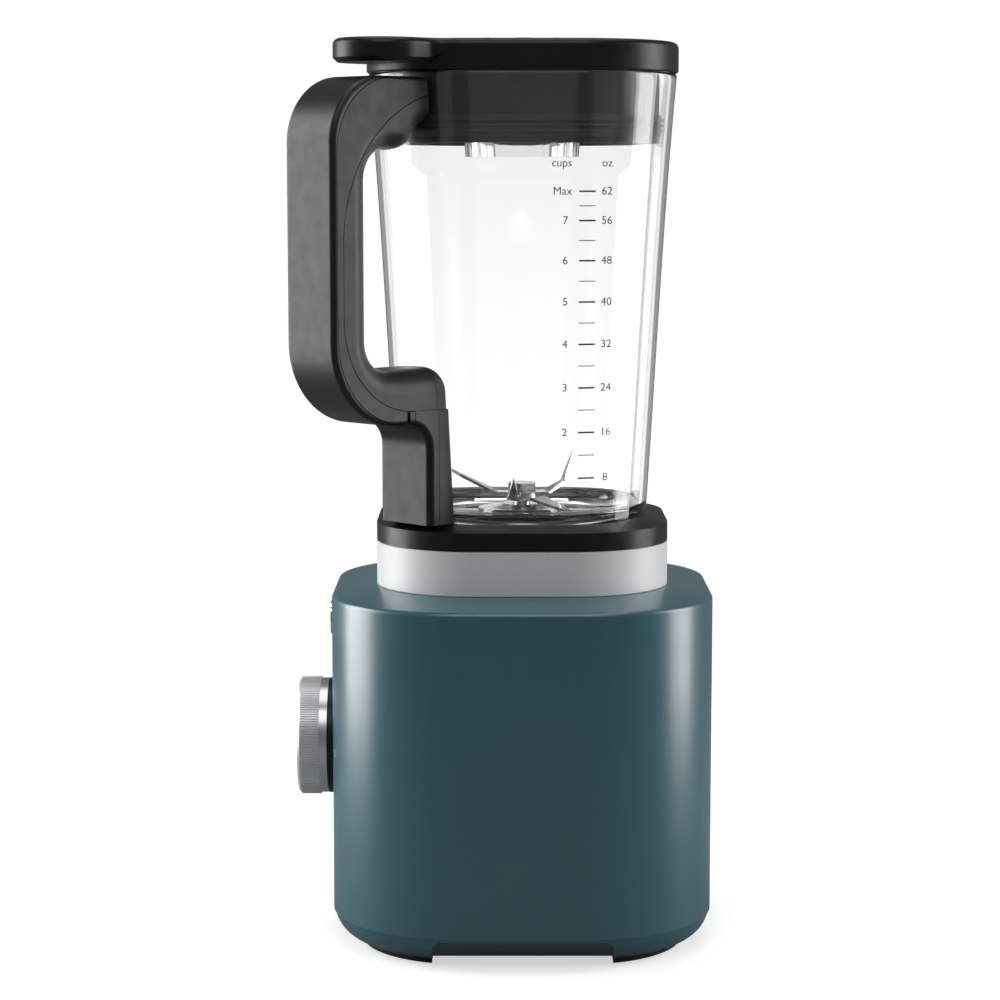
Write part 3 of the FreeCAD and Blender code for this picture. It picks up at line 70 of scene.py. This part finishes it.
def make_world():
    """White for the camera; for light, a dim studio, with bright panels seen only through glass."""
    world = bpy.data.worlds.new("studio")
    world.use_nodes = True
    nodes, links = world.node_tree.nodes, world.node_tree.links
    place = nodes.new("ShaderNodeTexCoord")
    split = nodes.new("ShaderNodeSeparateXYZ")
    links.new(place.outputs["Generated"], split.inputs[0])

    def shade(axis, *stops):
        """Grey levels along one axis of the direction, from -1 to 1."""
        remap = nodes.new("ShaderNodeMapRange")
        remap.inputs["From Min"].default_value = -1.0
        links.new(split.outputs[axis], remap.inputs["Value"])
        ramp = nodes.new("ShaderNodeValToRGB")
        ramp.color_ramp.interpolation = "EASE"
        ramp.color_ramp.elements.remove(ramp.color_ramp.elements[1])
        for index, (where, grey) in enumerate(stops):
            stop = ramp.color_ramp.elements[0] if index == 0 else ramp.color_ramp.elements.new(0.5)
            stop.position = (where + 1) / 2
            stop.color = (grey, grey, grey, 1)
        links.new(remap.outputs[0], ramp.inputs[0])
        return ramp.outputs[0]

    def calculate(operation, *values):
        """One arithmetic node; a value is a number or the output of another node."""
        node = nodes.new("ShaderNodeMath")
        node.operation = operation
        for socket, value in zip(node.inputs, values):
            if isinstance(value, (int, float)):
                socket.default_value = value
            else:
                links.new(value, socket)
        return node.outputs[0]

    def panels():
        """White panels round the horizon with grey gaps between, which give glass its edges."""
        count, gap_grey, brightness = 8.0, 0.34, 1.52
        around = calculate("ARCTAN2", split.outputs["Y"], split.outputs["X"])
        wave = calculate("COSINE", calculate("MULTIPLY", around, count))
        remap = nodes.new("ShaderNodeMapRange")
        remap.interpolation_type = "SMOOTHSTEP"
        remap.inputs["From Min"].default_value = -0.55
        remap.inputs["From Max"].default_value = -0.05
        remap.inputs["To Min"].default_value = gap_grey
        remap.inputs["To Max"].default_value = 1.0
        links.new(wave, remap.inputs["Value"])
        rise = shade("Z", (-0.9, 0.10), (-0.55, 1.0), (0.45, 1.0), (0.8, 0.10))
        behind = shade("X", (-0.1, 1.0), (0.5, 0.35))
        lit = calculate("MULTIPLY", remap.outputs[0], rise)
        return calculate("MULTIPLY", calculate("MULTIPLY", lit, behind), brightness)

    def lamp(colour, strength):
        background = nodes.new("ShaderNodeBackground")
        background.inputs["Strength"].default_value = strength
        if isinstance(colour, tuple):
            background.inputs["Color"].default_value = colour
        else:
            links.new(colour, background.inputs["Color"])
        return background.outputs[0]

    def choose(factor, first, second):
        mix = nodes.new("ShaderNodeMixShader")
        links.new(factor, mix.inputs["Fac"])
        links.new(first, mix.inputs[1])
        links.new(second, mix.inputs[2])
        return mix.outputs[0]

    path = nodes.new("ShaderNodeLightPath")
    studio = lamp(shade("X", (-0.45, 0.16), (0.15, 0.14), (0.6, 0.10)), 1.0)
    through_glass = lamp(panels(), 1.0)
    paper = lamp((1, 1, 1, 1), 1.02)
    seen = choose(path.outputs["Is Transmission Ray"], studio, through_glass)
    links.new(choose(path.outputs["Is Camera Ray"], seen, paper), nodes["World Output"].inputs[0])
    bpy.context.scene.world = world


def soft_box(name, place, target, wide, high, power):
    """A rectangular light aimed at a target; the power is in watts."""
    data = bpy.data.lights.new(name, "AREA")
    data.shape = "RECTANGLE"
    data.size = wide
    data.size_y = high
    data.energy = power
    lamp = bpy.data.objects.new(name, data)
    lamp.location = place
    lamp.rotation_euler = (Vector(target) - Vector(place)).to_track_quat("-Z", "Y").to_euler()
    bpy.context.collection.objects.link(lamp)


def make_floor():
    """A round of pale paper, just big enough to hold the soft shadow round the feet.

    The camera sees it pale, and all other rays see it darker, so it throws little light back up.
    """
    rings, sides, reach = 6, 96, 0.62
    points = [(0, 0, 0)]
    faces = []
    for ring in range(1, rings + 1):
        radius = reach * ring / rings
        for side in range(sides):
            turn = math.tau * side / sides
            points.append((radius * math.cos(turn), radius * math.sin(turn), 0))
    for side in range(sides):
        after = (side + 1) % sides
        faces.append((0, 1 + side, 1 + after))
        for ring in range(rings - 1):
            inner, outer = 1 + ring * sides, 1 + (ring + 1) * sides
            faces.append((inner + side, outer + side, outer + after, inner + after))
    mesh = bpy.data.meshes.new("floor")
    mesh.from_pydata(points, [], faces)
    floor = bpy.data.objects.new("floor", mesh)
    bpy.context.collection.objects.link(floor)
    surface = bpy.data.materials.new("floor_white")
    surface.use_nodes = True
    nodes, links = surface.node_tree.nodes, surface.node_tree.links
    shader = nodes["Principled BSDF"]
    shader.inputs["Base Color"].default_value = (0.80, 0.80, 0.80, 1)
    shader.inputs["Roughness"].default_value = 0.7
    shader.inputs["Specular IOR Level"].default_value = 0.1
    shader.inputs["Emission Color"].default_value = (1, 1, 1, 1)
    shader.inputs["Emission Strength"].default_value = 0.60
    dim = nodes.new("ShaderNodeBsdfDiffuse")
    dim.inputs["Color"].default_value = (0.30, 0.30, 0.30, 1)
    path = nodes.new("ShaderNodeLightPath")
    mix = nodes.new("ShaderNodeMixShader")
    links.new(path.outputs["Is Camera Ray"], mix.inputs["Fac"])
    links.new(dim.outputs[0], mix.inputs[1])
    links.new(shader.outputs[0], mix.inputs[2])
    links.new(mix.outputs[0], nodes["Material Output"].inputs["Surface"])
    mesh.materials.append(surface)


# ---------------------------------------------------------------- materials
class Surface:
    """A Principled material with short ways to add procedural detail."""

    def __init__(self, name, colour, rough, metal=0.0, gloss=0.5):
        self.material = bpy.data.materials.new(name)
        self.material.use_nodes = True
        self.tree = self.material.node_tree
        self.shader = self.tree.nodes["Principled BSDF"]
        self.shader.inputs["Base Color"].default_value = (*colour, 1)
        self.shader.inputs["Roughness"].default_value = rough
        self.shader.inputs["Metallic"].default_value = metal
        self.shader.inputs["Specular IOR Level"].default_value = gloss
        self.colour, self.rough = colour, rough
        self.where = self.add("ShaderNodeTexCoord").outputs["Object"]

    def add(self, kind, **sockets):
        node = self.tree.nodes.new(kind)
        for name, value in sockets.items():
            node.inputs[name.replace("_", " ")].default_value = value
        return node

    def link(self, output, target):
        self.tree.links.new(output, target)

    def noise(self, scale, detail=2.0, stretch=None):
        """Noise over the object, in features per metre; stretch squeezes it per axis."""
        texture = self.add("ShaderNodeTexNoise", Scale=scale, Detail=detail)
        if stretch:
            mapping = self.add("ShaderNodeMapping", Scale=stretch)
            self.link(self.where, mapping.inputs["Vector"])
            self.link(mapping.outputs[0], texture.inputs["Vector"])
        else:
            self.link(self.where, texture.inputs["Vector"])
        return texture.outputs["Fac"]

    def spread(self, factor, low, high):
        """Map the middle of a 0..1 pattern onto a range of values."""
        remap = self.add("ShaderNodeMapRange")
        remap.inputs["From Min"].default_value = 0.3
        remap.inputs["From Max"].default_value = 0.7
        remap.inputs["To Min"].default_value = low
        remap.inputs["To Max"].default_value = high
        self.link(factor, remap.inputs["Value"])
        return remap.outputs[0]

    def vary_rough(self, scale, amount, stretch=None):
        """Duller and glossier areas, as wear and handling leave."""
        pattern = self.noise(scale, 3.0, stretch)
        low, high = self.rough - amount, self.rough + amount
        self.link(self.spread(pattern, low, high), self.shader.inputs["Roughness"])
        return self

    def vary_colour(self, scale, amount):
        """Slow lighter and darker areas, as moulded or painted surfaces have."""
        mix = self.add("ShaderNodeMix")
        mix.data_type = "RGBA"
        mix.inputs["A"].default_value = (*(c * (1 - amount) for c in self.colour), 1)
        mix.inputs["B"].default_value = (*(min(1, c * (1 + amount)) for c in self.colour), 1)
        self.link(self.spread(self.noise(scale, 2.0), 0.0, 1.0), mix.inputs["Factor"])
        self.link(mix.outputs["Result"], self.shader.inputs["Base Color"])
        return self

    def lacquer(self, weight, rough):
        """A clear coat over the colour."""
        self.shader.inputs["Coat Weight"].default_value = weight
        self.shader.inputs["Coat Roughness"].default_value = rough
        return self

    def grain(self, scale, strength, distance=0.00002, stretch=None):
        """Fine relief: mould texture, brushing or a soft-touch skin."""
        bump = self.add("ShaderNodeBump", Strength=strength, Distance=distance)
        self.link(self.noise(scale, 3.0, stretch), bump.inputs["Height"])
        self.link(bump.outputs[0], self.shader.inputs["Normal"])
        return self


def clear_plastic(name, tint, rough, index):
    """Clear solid plastic. Shadow rays pass through, so what is inside stays lit."""
    look = Surface(name, tint, rough)
    look.shader.inputs["Transmission Weight"].default_value = 1.0
    look.shader.inputs["IOR"].default_value = index
    path = look.add("ShaderNodeLightPath")
    pass_through = look.add("ShaderNodeBsdfTransparent")
    pass_through.inputs["Color"].default_value = (0.93, 0.94, 0.94, 1)
    mix = look.add("ShaderNodeMixShader")
    look.link(path.outputs["Is Shadow Ray"], mix.inputs["Fac"])
    look.link(look.shader.outputs[0], mix.inputs[1])
    look.link(pass_through.outputs[0], mix.inputs[2])
    look.link(mix.outputs[0], look.tree.nodes["Material Output"].inputs["Surface"])
    return look


def make_materials():
    looks = {}

    def keep(name, look):
        looks[name] = look.material

    keep("teal_body", Surface("teal_satin_paint", (0.024, 0.133, 0.180), 0.34, gloss=1.0)
         .lacquer(0.7, 0.24).vary_colour(9, 0.04).vary_rough(60, 0.025).grain(2600, 0.10))
    keep("foot_rubber", Surface("foot_rubber", (0.020, 0.020, 0.020), 0.72)
         .vary_colour(60, 0.2).grain(1800, 0.5, 0.00005))
    keep("satin_band", Surface("satin_metal_band", (0.86, 0.86, 0.86), 0.46, metal=0.05)
         .vary_rough(120, 0.03, (1, 1, 14)).grain(900, 0.06, 0.00001, (1, 1, 30)))
    keep("chrome_trim", Surface("bright_chrome", (0.86, 0.86, 0.87), 0.08, metal=1.0)
         .vary_rough(90, 0.02).grain(500, 0.02, 0.00001))
    keep("ring_metal", Surface("satin_chrome_ring", (0.74, 0.74, 0.75), 0.30, metal=1.0)
         .vary_rough(120, 0.03).grain(700, 0.03, 0.00001))
    keep("dial_metal", Surface("dial_satin_metal", (0.86, 0.86, 0.86), 0.36, metal=0.5)
         .vary_rough(200, 0.05).grain(3000, 0.1, 0.00001))
    keep("black_plastic", Surface("black_satin_plastic", (0.005, 0.005, 0.005), 0.36, gloss=0.40)
         .vary_colour(30, 0.15).vary_rough(140, 0.04).grain(2400, 0.14))
    keep("soft_grip", Surface("soft_touch_grip", (0.007, 0.007, 0.007), 0.42, gloss=0.50)
         .vary_colour(25, 0.12).vary_rough(180, 0.04).grain(3600, 0.22))
    keep("handle_plastic", Surface("handle_satin_plastic", (0.006, 0.006, 0.006), 0.40, gloss=0.40)
         .vary_colour(25, 0.12).vary_rough(150, 0.04).grain(2600, 0.16))
    keep("clear_jar", clear_plastic("clear_jar_plastic", (0.995, 0.998, 0.997), 0.0, 1.50))
    keep("clear_cup", clear_plastic("clear_cup_plastic", (0.97, 0.98, 0.98), 0.03, 1.50)
         .grain(90, 0.02, 0.0001))
    keep("blade_steel", Surface("polished_steel", (0.72, 0.72, 0.72), 0.18, metal=1.0)
         .vary_rough(260, 0.06, (6, 1, 1)).grain(1500, 0.08, 0.00001, (8, 1, 1)))
    keep("shaft_steel", Surface("ground_steel", (0.55, 0.55, 0.56), 0.25, metal=1.0)
         .vary_rough(300, 0.05).grain(1800, 0.1, 0.00001, (1, 1, 10)))
    keep("bearing_steel", Surface("bearing_steel", (0.68, 0.68, 0.70), 0.16, metal=1.0)
         .vary_rough(300, 0.04).grain(1500, 0.05, 0.00001))
    keep("screw_steel", Surface("zinc_plate", (0.55, 0.56, 0.58), 0.30, metal=1.0)
         .vary_colour(120, 0.08).vary_rough(400, 0.06))
    keep("cast_alloy", Surface("cast_alloy", (0.52, 0.52, 0.53), 0.46, metal=1.0)
         .vary_rough(200, 0.06).grain(1100, 0.4, 0.00006))
    keep("laminations", Surface("steel_laminations", (0.24, 0.24, 0.26), 0.42, metal=1.0)
         .vary_colour(80, 0.2).grain(300, 0.6, 0.0001, (0.2, 0.2, 9)))
    keep("copper", Surface("enamelled_copper", (0.55, 0.20, 0.08), 0.28, metal=1.0)
         .vary_colour(200, 0.18).grain(700, 0.6, 0.0002, (1, 1, 6)))
    keep("holder_brass", Surface("pressed_brass", (0.66, 0.50, 0.22), 0.30, metal=1.0)
         .vary_rough(200, 0.06).grain(900, 0.1, 0.00002))
    keep("carbon", Surface("carbon_block", (0.03, 0.03, 0.032), 0.5)
         .vary_colour(300, 0.3).grain(1500, 0.4, 0.00004))
    keep("inner_plastic", Surface("natural_nylon", (0.62, 0.60, 0.54), 0.45)
         .vary_colour(40, 0.08).grain(900, 0.2, 0.00003))
    keep("board", Surface("green_board", (0.02, 0.16, 0.06), 0.32)
         .vary_colour(400, 0.25).grain(500, 0.2, 0.00004))
    keep("coupler_plastic", Surface("tough_black_plastic", (0.018, 0.018, 0.019), 0.5)
         .vary_colour(60, 0.2).grain(1400, 0.3, 0.00004))
    keep("seal_rubber", Surface("seal_rubber", (0.012, 0.012, 0.012), 0.55)
         .vary_colour(80, 0.2).grain(1600, 0.3, 0.00003))
    keep("print_black", Surface("print_ink", (0.020, 0.020, 0.022), 0.5)
         .vary_colour(400, 0.2))
    keep("print_white", Surface("white_ink", (0.72, 0.74, 0.74), 0.5)
         .vary_colour(400, 0.05))
    return looks


def dress_cad_nodes(looks):
    """Every carried-over CAD node takes the look of its material slot, or one made just for it."""
    own = {"dial_ring": "ring_metal"}
    for entry in frame["record"]["subparts"]:
        node = NODES[entry["node"]]
        node.data.materials.clear()
        node.data.materials.append(looks[own.get(entry["node"], entry["material_slot"])])


# ---------------------------------------------------------------- shapes
JAR_SECTIONS = (
    # height, half width and corner radius of the jar's outside, in mm
    (196.2, 58.4, 43.8),
    (300.0, 64.4, 48.0),
    (380.0, 69.5, 51.0),
    (409.6, 71.9, 52.5),
)
JAR_LOW, JAR_FLOOR, JAR_RIM, JAR_WALL, JAR_HOLE = 196.2, 201.0, 409.6, 3.2, 14.0
CORNER_STEPS, FLAT_STEPS = 24, 26


def jar_at(height, column):
    """Half width (column 1) or corner radius (column 2) of the jar's outside at a height, in mm."""
    total = 0
    for place in JAR_SECTIONS:
        weight = 1
        for other in JAR_SECTIONS:
            if other is not place:
                weight *= (height - other[0]) / (place[0] - other[0])
        total += weight * place[column]
    return total


def depth_of_outline(half, corner, aside):
    """How far a rounded square reaches at a distance aside from its middle."""
    past = max(0.0, abs(aside) - (half - corner))
    return half - corner + math.sqrt(max(0.0, corner * corner - past * past))


def rounded_square(half, corner):
    """Points round a rounded square, the same number for any size, anticlockwise from +X."""
    flat = half - corner
    points = []
    for quarter in range(4):
        turn = Matrix.Rotation(math.pi / 2 * quarter, 2)
        for step in range(FLAT_STEPS):
            points.append(turn @ Vector((half, flat * (2 * step / FLAT_STEPS - 1))))
        for step in range(CORNER_STEPS):
            angle = math.pi / 2 * step / CORNER_STEPS
            on_arc = Vector((flat + corner * math.cos(angle), flat + corner * math.sin(angle)))
            points.append(turn @ on_arc)
    return points


def ring_like(points, radius):
    """The same number of points, on a circle, each in its own direction."""
    return [point.normalized() * radius for point in points]


def skin_rings(mesh, rings):
    """Make one closed solid of rings: quads between neighbours, the last joined to the first."""
    count = len(rings[0])
    rows = [[mesh.verts.new(Vector(point) * MM) for point in ring] for ring in rings]
    for row, after in zip(rows, rows[1:] + rows[:1]):
        for i in range(count):
            j = (i + 1) % count
            mesh.faces.new((row[i], row[j], after[j], after[i]))
    bmesh.ops.recalc_face_normals(mesh, faces=mesh.faces)


def make_piece(name, mesh, look, body, smooth=True):
    """Turn a bmesh into a named object that rides on a body of the frame."""
    data = bpy.data.meshes.new(name)
    mesh.to_mesh(data)
    mesh.free()
    for face in data.polygons:
        face.use_smooth = smooth
    data.materials.append(looks[look])
    piece = bpy.data.objects.new(name, data)
    bpy.context.collection.objects.link(piece)
    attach(piece, body)
    return piece


def make_jar():
    """The clear jar: even walls, a dished floor, a rounded rim and a rib up the wall at -X."""
    dish_wide, dish_high = 20.0, 9.0
    rib_top, rib_half, rib_deep, rib_point = 345.0, 9.6, 1.5, 16.0
    foot_round, rim_round = 1.2, 1.4
    foot_steps, outside_steps, rim_steps = 6, 60, 12
    inside_steps, dish_steps, floor_steps = 100, 16, 4

    def wall_ring(height, inset):
        half, corner = jar_at(height, 1) - inset, jar_at(height, 2) - inset
        return [Vector((*point, height)) for point in rounded_square(half, corner)]

    def with_rib(ring):
        """The ring with its points at -X pushed inward, where they lie on the rib."""
        out = []
        for point in ring:
            left = rib_top - point.z
            wide = rib_half * min(1.0, math.sqrt(max(0.0, left) / rib_point))
            push = 0.0
            if point.x < 0 and wide > 0.01 and abs(point.y) < wide:
                near = abs(point.y) / wide
                push = rib_deep * math.cos(near * math.pi / 2) ** 2 * min(1.0, wide / rib_half)
            out.append(point + Vector((push, 0, 0)))
        return out

    def floor_ring(share):
        """From the foot of the dish, share 0, to the shaft hole, share 1."""
        edge = rounded_square(jar_at(JAR_FLOOR, 1) - JAR_WALL - dish_wide,
                              jar_at(JAR_FLOOR, 2) - JAR_WALL - dish_wide)
        hole = ring_like(edge, JAR_HOLE)
        return [Vector((*a.lerp(b, share), JAR_FLOOR)) for a, b in zip(edge, hole)]

    rings = []
    for step in range(foot_steps + 1):
        angle = math.pi / 2 * step / foot_steps
        rings.append([Vector((p.x, p.y, JAR_LOW + foot_round * (1 - math.sin(angle))))
                      for p in wall_ring(JAR_LOW + foot_round, foot_round * (1 - math.cos(angle)))])
    rings.reverse()
    high = JAR_RIM - rim_round
    for step in range(1, outside_steps + 1):
        climb = (high - JAR_LOW - foot_round) * step / outside_steps
        rings.append(wall_ring(JAR_LOW + foot_round + climb, 0))
    for step in range(1, rim_steps):
        angle = math.pi * step / rim_steps
        inset = JAR_WALL / 2 * (1 - math.cos(angle))
        height = high + rim_round * math.sin(angle)
        rings.append([Vector((p.x, p.y, height)) for p in wall_ring(high, inset)])
    low = JAR_FLOOR + dish_high
    for step in range(inside_steps + 1):
        rings.append(with_rib(wall_ring(high + (low - high) * step / inside_steps, JAR_WALL)))
    for step in range(1, dish_steps + 1):
        angle = math.pi / 2 * step / dish_steps
        inset = JAR_WALL + dish_wide * (1 - math.cos(angle))
        height = JAR_FLOOR + dish_high * (1 - math.sin(angle))
        ring = [Vector((p.x, p.y, height)) for p in wall_ring(low, inset)]
        fade = math.cos(angle)
        rings.append([a.lerp(b, fade) for a, b in zip(ring, with_rib(ring))])
    for step in range(1, floor_steps + 1):
        rings.append(floor_ring(step / floor_steps))
    hole = ring_like(rounded_square(*JAR_SECTIONS[0][1:]), JAR_HOLE)
    rings.append([Vector((*point, JAR_LOW)) for point in hole])
    mesh = bmesh.new()
    skin_rings(mesh, rings)
    jar = make_piece("jar", mesh, "clear_jar", "jar")
    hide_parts("jar_body")


def lettering(mesh, text, size, align, place):
    """Add letters to a mesh; place(u, v) puts a point of their flat plane, in mm, on a surface."""
    curve = bpy.data.curves.new("letters", "FONT")
    curve.body = text
    curve.size = size
    curve.align_x = align
    curve.align_y = "CENTER"
    curve.resolution_u = 4
    holder = bpy.data.objects.new("letters", curve)
    flat = bpy.data.meshes.new_from_object(holder)
    verts = [mesh.verts.new(Vector(place(v.co.x, v.co.y)) * MM) for v in flat.vertices]
    for face in flat.polygons:
        if len(set(face.vertices)) > 2:
            mesh.faces.new([verts[i] for i in face.vertices])
    bpy.data.objects.remove(holder)
    bpy.data.meshes.remove(flat)
    bpy.data.curves.remove(curve)


def bar(mesh, low, high, place, steps=6):
    """A printed bar between two corners of the letters' plane, bent to follow the surface."""
    rows = []
    for step in range(steps + 1):
        u = low[0] + (high[0] - low[0]) * step / steps
        rows.append([mesh.verts.new(Vector(place(u, v)) * MM) for v in (low[1], high[1])])
    for (a, b), (c, d) in zip(rows, rows[1:]):
        mesh.faces.new((a, c, d, b))


def make_jar_scale():
    """Volume marks printed outside on the wall at +X: cups at one side, fluid ounces at the other."""
    first_mark, spacing, tightening, ounces_per_cup, full = 224.6, 21.5, 0.31, 8, 7.75
    cups_at, tick_from, tick_to, ounces_at, cups_edge = 19.0, 25.2, 32.7, 37.9, 22.0
    units_at, units_above, last_cup = 17.3, 12.6, 7
    letter, ink, thick_line, thin_line = 5.1, 0.05, 0.75, 0.4
    mesh = bmesh.new()

    def height_of(cups):
        above = cups - 1
        return first_mark + spacing * above - tightening * above * above

    def on_wall(y, z):
        half, corner = jar_at(z, 1), jar_at(z, 2)
        return depth_of_outline(half, corner, y) + ink, y, z

    def write(text, y, z, align="CENTER"):
        lettering(mesh, text, letter, align, lambda u, v: on_wall(y + u, z + v))

    def tick(z, thick):
        bar(mesh, (tick_from, z - thick / 2), (tick_to, z + thick / 2), on_wall)

    for cups in range(1, last_cup + 1):
        write(str(cups), cups_at, height_of(cups))
        write(str(cups * ounces_per_cup), ounces_at, height_of(cups))
        tick(height_of(cups), thick_line)
        tick(height_of(cups + 0.5 if cups < last_cup else (cups + full) / 2), thin_line)
    write("Max", cups_edge, height_of(full), "RIGHT")
    write(str(round(full * ounces_per_cup)), ounces_at, height_of(full))
    tick(height_of(full), thick_line)
    write("cups", units_at, height_of(full) + units_above)
    write("oz", ounces_at, height_of(full) + units_above)
    make_piece("jar_scale", mesh, "print_black", "jar", smooth=False)


def make_dial_marks():
    """Numbers and ticks printed on the housing round the dial."""
    half, corner, dial_height, ink = 90.0, 62.0, 92.3, 0.05
    ring, ticks_out, ticks_in = 42.5, 38.0, 35.5
    last_number, spacing, letter, thick_line, thin_line = 5, 30, 5.2, 0.7, 0.4
    mesh = bmesh.new()

    def on_front(x, z):
        return x, -depth_of_outline(half, corner, x) - ink, z

    for number in range(last_number + 1):
        angle = math.radians(spacing * number)
        along, up = math.sin(angle), math.cos(angle)
        lettering(mesh, str(number), letter, "CENTER",
                  lambda u, v: on_front(ring * along + u, dial_height + ring * up + v))
        for halfway in (0, spacing / 2):
            if number == last_number and halfway:
                continue
            lean = angle + math.radians(halfway)
            out = Vector((math.sin(lean), math.cos(lean)))
            across = Vector((math.cos(lean), -math.sin(lean)))
            thick = thin_line if halfway else thick_line

            def on_ray(u, v):
                spot = out * u + across * v
                return on_front(spot.x, dial_height + spot.y)

            bar(mesh, (ticks_in, -thick / 2), (ticks_out, thick / 2), on_ray)
    make_piece("dial_marks", mesh, "print_white", "base", smooth=False)


looks = make_materials()
dress_cad_nodes(looks)
make_camera()
make_world()
make_floor()
soft_box("left_box", (-0.30, -1.47, 0.45), (0, 0, 0.22), 0.95, 1.5, 25)
soft_box("right_box", (-0.08, 1.50, 0.45), (0, 0, 0.22), 0.70, 1.5, 16)
soft_box("front_box", (1.3, 0, 1.6), (0, 0, 0.2), 1.3, 0.9, 7)
soft_box("top_box", (-0.2, 0, 1.8), (0, 0, 0.2), 1.2, 1.2, 7)
make_jar()
make_jar_scale()
make_dial_marks()

bpy.context.scene.view_settings.view_transform = "Standard"
